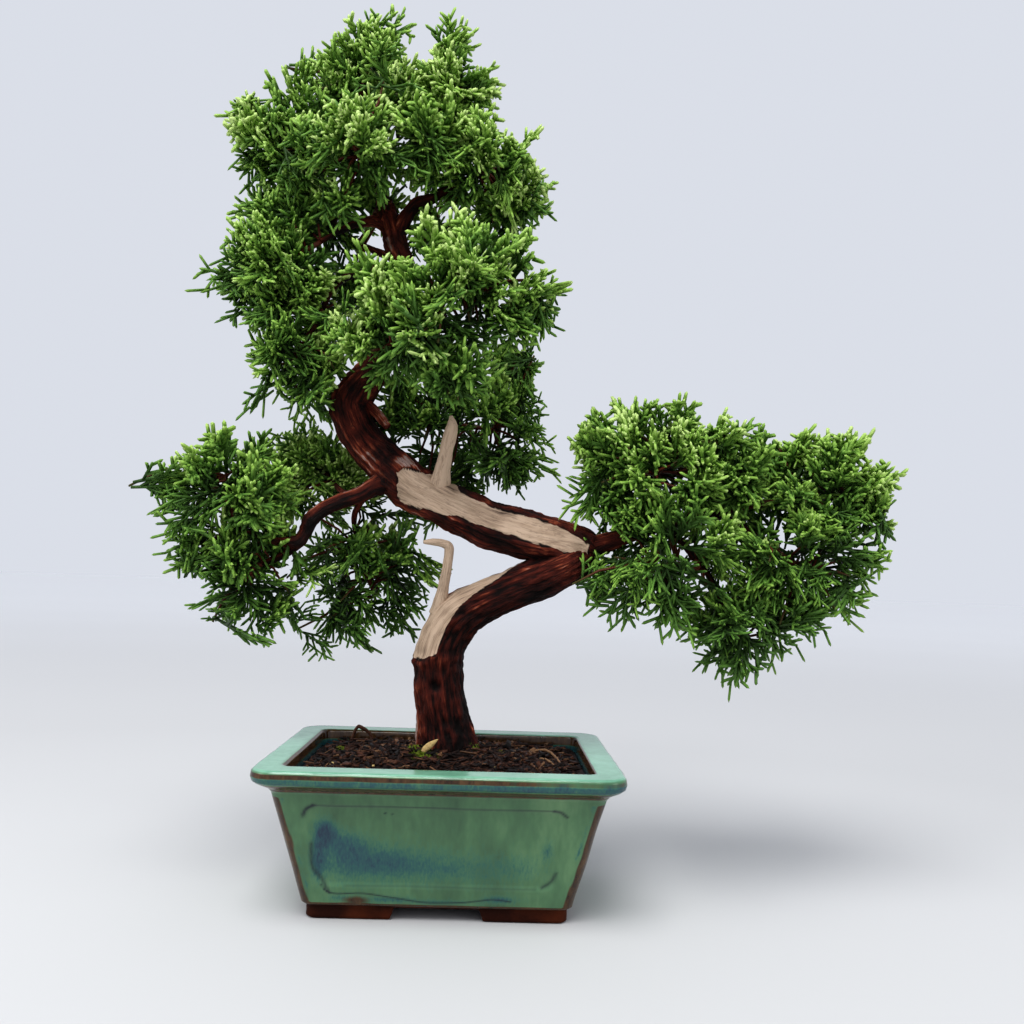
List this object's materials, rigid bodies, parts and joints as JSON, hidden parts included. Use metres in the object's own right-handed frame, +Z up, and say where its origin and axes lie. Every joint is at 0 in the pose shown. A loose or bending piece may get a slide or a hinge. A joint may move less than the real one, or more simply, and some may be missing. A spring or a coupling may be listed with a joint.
{
  "type": "shimpaku juniper bonsai in a pot",
  "caption": "Small juniper bonsai with a zigzag trunk, stripped deadwood and rounded clouds of scale-leaf sprays, rooted in a glazed rectangular pot.",
  "frame": {"origin": "middle of the whole tree's footprint, at the height of the surface under the pot's feet", "axes": "+Z up along the tree's height, +X along the pot's long side towards the long right branch, -Y towards the tree's front"},
  "size_m": [0.3486, 0.146, 0.4134],
  "materials": {
    "bark": "fibrous red-brown bark, with pale stripped deadwood on two faces and the dead stubs",
    "glaze": "glossy mottled green glaze with blue pools and brown breaks at the edges, bare brown clay at the foot",
    "soil": "moist dark mix of bark bits and fibre",
    "net": "moulded black drainage mesh",
    "foliage": "waxy scale-leaf cords, bright green at the tips and dark green below"
  },
  "bodies": {
    "root": {"trunk": "bark", "pot": "glaze", "soil": "soil", "drain_net_left": "net", "drain_net_right": "net", "foliage_apex": "foliage", "foliage_upper_right": "foliage", "foliage_upper_left": "foliage", "foliage_upper_middle": "foliage", "foliage_crown_left": "foliage", "foliage_right_shoulder": "foliage", "foliage_left_shoulder": "foliage", "foliage_left_skirt": "foliage", "foliage_front": "foliage", "foliage_front_left": "foliage", "foliage_back": "foliage", "foliage_far_left": "foliage", "foliage_far_left_skirt": "foliage", "foliage_rear_left": "foliage", "foliage_rear_hanging": "foliage", "foliage_right_near": "foliage", "foliage_right_back": "foliage", "foliage_right_far": "foliage", "foliage_right_low_near": "foliage", "foliage_right_low_far": "foliage", "foliage_right_tip": "foliage"}
  },
  "joints": []
}
